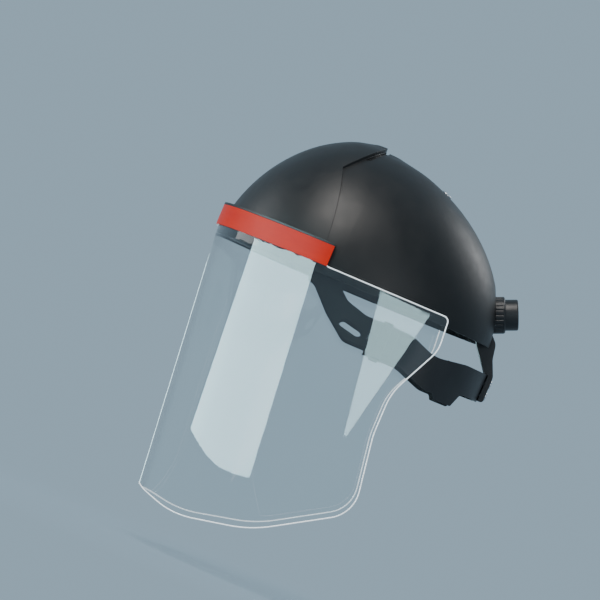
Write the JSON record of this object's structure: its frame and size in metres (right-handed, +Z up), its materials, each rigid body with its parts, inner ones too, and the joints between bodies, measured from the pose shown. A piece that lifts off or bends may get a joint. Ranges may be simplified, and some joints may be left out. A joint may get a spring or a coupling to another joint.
{
  "type": "full-face shield",
  "caption": "Full-face shield: black crown shell, red clamp strip, long clear wrap-round visor, riveted drop arms, nape band and a rear ratchet knob.",
  "frame": {"origin": "centre of the headband ring, level with the visor's top line, on the wearer's middle plane", "axes": "+Z up, -Y the way the wearer looks, +X the wearer's left, with the brim level"},
  "size_m": [0.2024, 0.23, 0.2983],
  "materials": {
    "shell_plastic": "black satin moulded plastic",
    "visor_clear": "clear polished sheet with bright cut edges",
    "strip_red": "red-orange glossy moulded plastic",
    "band_plastic": "black fine-grained plastic",
    "strap_plastic": "black semi-gloss flexible plastic",
    "arm_plastic": "black satin plastic",
    "sweatband": "black perforated soft leatherette",
    "foam_cloth": "black knitted cloth on foam",
    "rivet_metal": "nickel-plated steel",
    "spring_steel": "spring steel",
    "gear_nylon": "dark grey nylon",
    "knob_plastic": "black satin plastic, ribbed",
    "cap_plastic": "dark grey satin disc"
  },
  "bodies": {
    "root": {"crown_shell": "shell_plastic", "visor": "visor_clear", "clamp_strip": "strip_red", "visor_pegs": "shell_plastic", "forehead_band": "band_plastic", "sweatband_pad": "sweatband", "crown_strap_left": "strap_plastic", "crown_strap_right": "strap_plastic", "ridge_strap": "strap_plastic", "crown_peg": "strap_plastic", "crown_rivet": "rivet_metal", "crown_pad": "foam_cloth", "band_rivets": "rivet_metal", "shell_posts": "band_plastic", "post_pins": "rivet_metal", "drop_arm_left": "arm_plastic", "drop_arm_right": "arm_plastic", "keeper_left": "arm_plastic", "keeper_right": "arm_plastic"},
    "rear_yoke": {"nape_band": "arm_plastic", "nape_pad": "foam_cloth", "yoke_strap": "strap_plastic", "yoke_rivets": "rivet_metal", "ratchet_housing": "arm_plastic", "ratchet_cover": "arm_plastic", "housing_screws": "rivet_metal", "housing_pad": "foam_cloth", "detent_springs": "spring_steel"},
    "knob": {"pinion": "gear_nylon", "ratchet_knob": "knob_plastic", "knob_cap": "cap_plastic", "knob_screw": "rivet_metal"},
    "left_rack": {"rack_left": "gear_nylon", "side_strap_left": "strap_plastic", "strap_rivet_left": "rivet_metal"},
    "right_rack": {"rack_right": "gear_nylon", "side_strap_right": "strap_plastic", "strap_rivet_right": "rivet_metal"}
  },
  "joints": [
    {"name": "knob_turn", "type": "hinge", "parent": "rear_yoke", "child": "knob", "pos_m": [0, 0.095, 0.0146], "axis": [0, -0.9171, -0.3987], "range_deg": [0, 114.6]},
    {"name": "yoke_slide", "type": "slide", "parent": "root", "child": "rear_yoke", "axis": [0, -1, 0], "range_m": [0, 0.012]},
    {"name": "left_rack_slide", "type": "slide", "parent": "root", "child": "left_rack", "axis": [-0.7071, -0.7071, 0], "range_m": [0, 0.01697]},
    {"name": "right_rack_slide", "type": "slide", "parent": "root", "child": "right_rack", "axis": [0.7071, -0.7071, 0], "range_m": [0, 0.01697]}
  ],
  "couplings": [
    {"joint": "knob_turn", "follows": "yoke_slide", "rad_per_m": 166.67},
    {"joint": "left_rack_slide", "follows": "yoke_slide", "ratio": 1.4142},
    {"joint": "right_rack_slide", "follows": "yoke_slide", "ratio": 1.4142}
  ]
}
